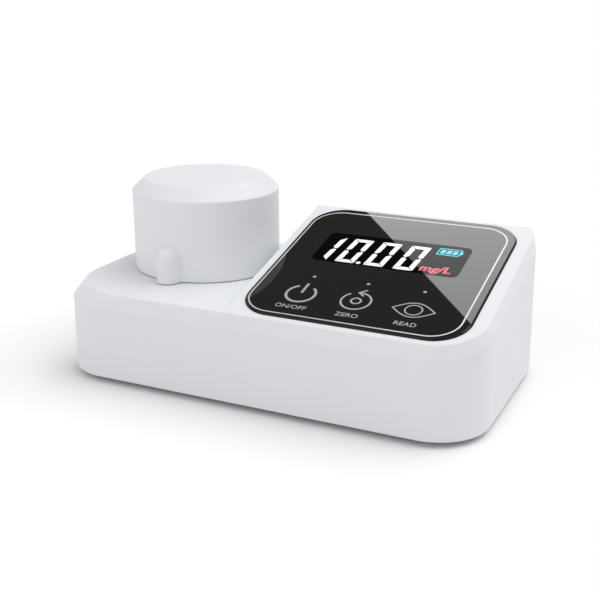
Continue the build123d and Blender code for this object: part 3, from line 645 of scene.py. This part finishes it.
SILVER = finish_material("silver_print", (0.62, 0.62, 0.62), 0.35, Metallic=0.3, edge_radius=0.00001)
GREY_PRINT = finish_material("grey_print", (0.36, 0.355, 0.35), 0.5, edge_radius=0.00001)
WINDOW_BLACK = finish_material(
    "window_black", (0.0016, 0.0016, 0.0017), 0.012,
    drift=0.02, sheen=0.003, edge_radius=0.00001, Specular_IOR_Level=0.06,
)
DIGIT_WHITE = glow_material("digit_white", (1.0, 1.0, 1.0), 0.93)
UNIT_RED = glow_material("unit_red", (0.95, 0.10, 0.14), 0.8)
BATTERY_CYAN = glow_material("battery_cyan", (0.02, 0.78, 0.90), 0.85)


def glass_outline():
    """Silver line that follows the rim of the glass."""
    right, rear = GLASS_WIDTH - OUTLINE_RIGHT, GLASS_LENGTH - OUTLINE_REAR
    path = rounded_outline(OUTLINE_LEFT, OUTLINE_FRONT, right, rear, OUTLINE_RADIUS, steps=20)
    line = stroke(path, OUTLINE_WIDTH, closed=True)
    return print_on_glass("glass_outline", [line], SILVER)


def display_window():
    """Darker clear window: its centre plus a falling share of the way to its outline, ring by ring."""
    right, rear = GLASS_WIDTH - WINDOW_RIGHT, GLASS_LENGTH - WINDOW_REAR
    outline = rounded_outline(WINDOW_LEFT, WINDOW_FRONT, right, rear, WINDOW_RADIUS)
    centre = outline.mean(axis=0)
    share = np.linspace(1.0, WINDOW_LAST_RING, WINDOW_RINGS)
    points = centre + share[:, None, None] * (outline - centre)[None]
    columns = len(outline)
    faces = grid_faces(len(share), columns, wrap_columns=True).tolist()
    faces.append([columns * (len(share) - 1) + index for index in range(columns)])
    parts = [(points.reshape(-1, 2), faces)]
    return print_on_glass("display_window", parts, WINDOW_BLACK, WINDOW_HEIGHT)


def segment(corners, gap):
    """One lit segment: a polygon whose corners move towards their middle by the gap."""
    corners = np.array(corners, float)
    middle = corners.mean(axis=0)
    return corners - gap * unit(corners - middle), [list(range(len(corners)))]


def leaned(points, left, base):
    """Points moved to a place on the glass and slanted: the slant times the height is added across."""
    points = np.asarray(points, float)
    return np.stack((left + points[:, 0] + points[:, 1] * DIGIT_SLANT, base + points[:, 1]), axis=1)


def rectangle(left, low, right, high):
    """Four corners, counter-clockwise."""
    return [(left, low), (right, low), (right, high), (left, high)]


def digit_segments(left, lit):
    """Lit segments of one digit: mitred bars along the sides of its cell, slanted to the right."""
    width, height, bar = DIGIT_WIDTH, DIGIT_HEIGHT, DIGIT_STROKE
    half, nib = height / 2, bar / 2
    tip_low, tip_high = half - nib * DIGIT_TIP, half + nib * DIGIT_TIP
    right_bar, right_nib, top_bar = width - bar, width - nib, height - bar
    shapes = {
        "top": [(0, height), (bar, top_bar), (right_bar, top_bar), (width, height)],
        "bottom": [(0, 0), (width, 0), (right_bar, bar), (bar, bar)],
        "left_low": [(0, 0), (bar, bar), (bar, half - nib), (nib, half), (0, tip_low)],
        "left_high": [(0, tip_high), (nib, half), (bar, half + nib), (bar, top_bar), (0, height)],
        "right_low": [
            (width, 0), (width, tip_low), (right_nib, half), (right_bar, half - nib), (right_bar, bar),
        ],
        "right_high": [
            (width, height), (right_bar, top_bar), (right_bar, half + nib), (right_nib, half),
            (width, tip_high),
        ],
    }
    parts = []
    for name in lit:
        points, faces = segment(shapes[name], DIGIT_GAP)
        parts.append((leaned(points, left, DIGIT_BASE), faces))
    return parts


def display_digits():
    """The number 10.00 in lit segments."""
    zero = ("top", "bottom", "left_low", "left_high", "right_low", "right_high")
    one = ("right_low", "right_high")
    parts = digit_segments(ONE_LEFT, one)
    for index in range(3):
        parts += digit_segments(FIRST_ZERO_LEFT + index * DIGIT_PITCH, zero)
    point = (FIRST_ZERO_LEFT + DIGIT_WIDTH + POINT_OFFSET, DIGIT_BASE + POINT_RADIUS)
    parts.append(dot(point, POINT_RADIUS))
    return print_on_glass("display_digits", parts, DIGIT_WHITE)


def battery_symbol():
    """Outline of a battery with three full cells and a pole."""
    width, height = BATTERY_WIDTH, BATTERY_HEIGHT
    rim = rounded_outline(0, 0, width, height, BATTERY_CORNER, steps=4)
    shapes = [stroke(rim, BATTERY_LINE, closed=True)]
    square = [[0, 1, 2, 3]]
    pole = rectangle(width + POLE_GAP, height * POLE_LOW, width + POLE_REACH, height * (1 - POLE_LOW))
    shapes.append((pole, square))
    for index in range(3):
        left = CELL_MARGIN + index * (CELL_WIDTH + CELL_GAP)
        shapes.append((rectangle(left, CELL_MARGIN, left + CELL_WIDTH, height - CELL_MARGIN), square))
    parts = [(leaned(points, BATTERY_LEFT, BATTERY_BASE), faces) for points, faces in shapes]
    return print_on_glass("battery_symbol", parts, BATTERY_CYAN)


def flat_text(words, size, shear=0.0, weight=0.0):
    """Letters as flat points and faces, with the lower left corner at the origin."""
    curve = bpy.data.curves.new("letters", "FONT")
    curve.body = words
    curve.size = size
    curve.shear = shear
    curve.offset = weight
    curve.resolution_u = 4
    holder = bpy.data.objects.new("letters", curve)
    bpy.context.scene.collection.objects.link(holder)
    bpy.context.view_layer.update()
    evaluated = holder.evaluated_get(bpy.context.evaluated_depsgraph_get())
    mesh = bpy.data.meshes.new_from_object(evaluated)
    points = np.zeros(len(mesh.vertices) * 3)
    mesh.vertices.foreach_get("co", points)
    points = points.reshape(-1, 3)[:, :2]
    faces = [list(face.vertices) for face in mesh.polygons]
    bpy.data.objects.remove(holder)
    bpy.data.curves.remove(curve)
    bpy.data.meshes.remove(mesh)
    return points - points.min(axis=0), faces


def unit_text():
    """Unit mg/L in slanted red letters, scaled to its width on the glass."""
    points, faces = flat_text("mg/L", UNIT_SIZE, shear=UNIT_SLANT, weight=UNIT_WEIGHT)
    scale = UNIT_WIDTH / np.ptp(points[:, 0])
    points = points * (scale, scale * UNIT_FLATTEN) + (UNIT_LEFT, UNIT_BASE)
    return print_on_glass("unit_text", [(points, faces)], UNIT_RED)


def key_centre(index):
    """Middle of a touch symbol."""
    return np.array((KEY_LEFT + index * KEY_PITCH, KEY_HEIGHT))


def power_symbol():
    """Open ring with a bar in its gap."""
    centre = key_centre(0)
    parts = [stroke(arc(centre, SYMBOL_RADIUS, *POWER_ARC), POWER_STROKE)]
    bar = [centre + (0.0, POWER_BAR_LOW), centre + (0.0, POWER_BAR_HIGH)]
    parts.append(stroke(bar, POWER_STROKE))
    return print_on_glass("power_symbol", parts, GREY_PRINT)


def zero_symbol():
    """Open ring with an arrow head, round a small ring."""
    centre = key_centre(1) + ZERO_SHIFT
    parts = [stroke(arc(centre, SYMBOL_RADIUS, *ZERO_ARC), ZERO_STROKE)]
    parts.append(ring(centre, ZERO_INNER_RADIUS, ZERO_INNER_STROKE))
    tip = centre + ARROW_TIP
    parts.append(stroke([tip + ARROW_UPPER, tip, tip + ARROW_LOWER], ZERO_INNER_STROKE))
    return print_on_glass("zero_symbol", parts, GREY_PRINT)


def read_symbol():
    """Eye: two lids, each half a cosine wave from corner to corner, round a ring."""
    centre = key_centre(2)
    across = np.linspace(-1, 1, LID_STEPS)
    lid = EYE_HALF_HEIGHT * np.cos(across * math.pi / 2)
    upper = np.stack((centre[0] + across * EYE_HALF_WIDTH, centre[1] + lid), axis=1)
    lower = np.stack((centre[0] - across * EYE_HALF_WIDTH, centre[1] - lid), axis=1)[1:-1]
    outline = np.concatenate((upper, lower))
    parts = [stroke(outline, EYE_STROKE, closed=True), ring(centre, IRIS_RADIUS, EYE_STROKE)]
    return print_on_glass("read_symbol", parts, GREY_PRINT)


def key_lamps():
    """Small light dots above the touch symbols."""
    parts = [dot((key_centre(index)[0], LAMP_HEIGHT), KEY_LAMP_RADIUS) for index in range(3)]
    return print_on_glass("key_lamps", parts, GREY_PRINT)


def key_labels():
    """Plain words under the touch symbols."""
    parts = []
    for index, words in enumerate(("ON/OFF", "ZERO", "READ")):
        points, faces = flat_text(words, LABEL_SIZE, weight=LABEL_WEIGHT)
        left = key_centre(index)[0] - np.ptp(points[:, 0]) / 2
        parts.append((points + (left, LABEL_HEIGHT - LABEL_SIZE * LABEL_RAISE), faces))
    return print_on_glass("key_labels", parts, GREY_PRINT)


glass_outline()
display_window()
display_digits()
battery_symbol()
unit_text()
power_symbol()
zero_symbol()
read_symbol()
key_lamps()
key_labels()

# Studio


def make_camera():
    """Camera at the photograph's place and angle."""
    camera = bpy.data.cameras.new("camera")
    camera.lens = LENS_MM
    camera.sensor_width = SENSOR_MM
    camera.sensor_fit = "HORIZONTAL"
    camera.clip_start, camera.clip_end = CAMERA_NEAR, CAMERA_FAR
    holder = bpy.data.objects.new("camera", camera)
    holder.location = CAMERA_PLACE
    holder.rotation_euler = (math.pi / 2 - CAMERA_ELEVATION, 0.0, CAMERA_AZIMUTH)
    bpy.context.scene.collection.objects.link(holder)
    bpy.context.scene.camera = holder


def mirror_light(name, place, back, side, width, length, radiance):
    """Rectangular light seen only in reflections; it shines away from the back direction. Its power
    is the radiance times pi times the area."""
    light = bpy.data.lights.new(name, "AREA")
    light.shape = "RECTANGLE"
    light.size, light.size_y = width, length
    light.energy = radiance * math.pi * width * length
    holder = bpy.data.objects.new(name, light)
    back, side = Vector(back).normalized(), Vector(side).normalized()
    holder.rotation_euler = Matrix((side, back.cross(side), back)).transposed().to_euler()
    holder.location = place
    holder.visible_diffuse = False
    bpy.context.scene.collection.objects.link(holder)


def sun_light(name, direction, level, spread):
    """Soft distant light from a direction; its strength is the level times pi."""
    light = bpy.data.lights.new(name, "SUN")
    light.energy = level * math.pi
    light.angle = spread
    holder = bpy.data.objects.new(name, light)
    holder.rotation_euler = Vector(direction).to_track_quat("Z", "Y").to_euler()
    bpy.context.scene.collection.objects.link(holder)


def reflected_eye():
    """The camera's mirror image: its place less twice its height over the glass along the normal."""
    eye = np.array(CAMERA_PLACE)
    return eye - 2 * ((eye - GLASS_CORNER) @ OUTWARD) * OUTWARD


def glare_card():
    """Bright card whose straight edge is mirrored in the glass as one slanting line.

    The edge lies in the plane through the camera's mirror image and the line's two ends on the
    glass, and the card faces the middle of the line from there."""
    eye = reflected_eye()
    first, last = on_glass([CARD_EDGE_START, CARD_EDGE_END], 0.0)
    normal = unit(np.cross(unit(first - eye), unit(last - eye)))
    middle = (first + last) / 2
    ray = unit(middle - eye)
    edge = unit(np.cross(normal, ray))
    outward = np.cross(ray, edge)
    if outward @ normal < 0:
        outward = -outward
    centre = middle + ray * CARD_DISTANCE + outward * CARD_LENGTH / 2
    mirror_light("glare_card", centre, ray, edge, CARD_WIDTH, CARD_LENGTH, CARD_RADIANCE)


def seen_by_eye(tree):
    """1 for rays from the camera, mirrors and glass, else 0: the largest of the three."""
    path = add_node(tree, "ShaderNodeLightPath")
    seen = math_node(tree, "MAXIMUM", path.outputs["Is Camera Ray"], path.outputs["Is Glossy Ray"])
    return math_node(tree, "MAXIMUM", seen, path.outputs["Is Transmission Ray"])


def make_floor():
    """Plain pale floor: shadows fall on it, and the camera and mirrors see it near white, while it
    throws back less light."""
    mesh = bpy.data.meshes.new("floor")
    half = FLOOR_SIZE / 2
    corners = [(x, y, 0) for x, y in rectangle(-half, -half, half, half)]
    mesh.from_pydata(corners, [], [(0, 1, 2, 3)])
    floor = bpy.data.objects.new("floor", mesh)
    bpy.context.scene.collection.objects.link(floor)
    material = bpy.data.materials.new("floor")
    material.use_nodes = True
    tree = material.node_tree
    tree.nodes.clear()
    out = tree.nodes.new("ShaderNodeOutputMaterial")
    seen = seen_by_eye(tree)
    matt = add_node(tree, "ShaderNodeBsdfDiffuse")
    link(tree, mix_colors(tree, seen, FLOOR_BOUNCE, grey(FLOOR_SEEN)), matt.inputs["Color"])
    glow = add_node(tree, "ShaderNodeEmission")
    glow.inputs["Color"].default_value = grey(1.0)
    link(tree, math_node(tree, "MULTIPLY", seen, FLOOR_GLOW), glow.inputs["Strength"])
    both = add_node(tree, "ShaderNodeAddShader")
    link(tree, matt.outputs[0], both.inputs[0])
    link(tree, glow.outputs[0], both.inputs[1])
    link(tree, both.outputs[0], out.inputs["Surface"])
    mesh.materials.append(material)


def make_world():
    """White surroundings near the horizon, dark overhead, as mirrors see them. Matt faces take an
    even sky light, and the camera sees plain white."""
    world = bpy.data.worlds.new("studio")
    bpy.context.scene.world = world
    world.use_nodes = True
    tree = world.node_tree
    tree.nodes.clear()
    out = tree.nodes.new("ShaderNodeOutputWorld")
    sky = tree.nodes.new("ShaderNodeBackground")
    direction = add_node(tree, "ShaderNodeTexCoord")
    parts = add_node(tree, "ShaderNodeSeparateXYZ")
    link(tree, direction.outputs["Generated"], parts.inputs[0])
    ramp = add_node(tree, "ShaderNodeValToRGB")
    for element, (position, level) in zip(ramp.color_ramp.elements, HORIZON_RAMP):
        element.position = position
        element.color = grey(level)
    link(tree, parts.outputs["Z"], ramp.inputs[0])
    path = add_node(tree, "ShaderNodeLightPath")
    color = ramp.outputs["Color"]
    for ray, level in (("Is Diffuse Ray", SKY_LEVEL), ("Is Camera Ray", 1.0)):
        color = mix_colors(tree, path.outputs[ray], color, grey(level))
    link(tree, color, sky.inputs["Color"])
    link(tree, sky.outputs[0], out.inputs["Surface"])
    world.cycles.sampling_method = "NONE"


make_camera()
make_floor()
make_world()
glare_card()
sun_light("key", KEY_DIRECTION, KEY_LEVEL, KEY_SPREAD)
sun_light("fill", FILL_DIRECTION, FILL_LEVEL, FILL_SPREAD)
bpy.context.scene.view_settings.view_transform = "Standard"
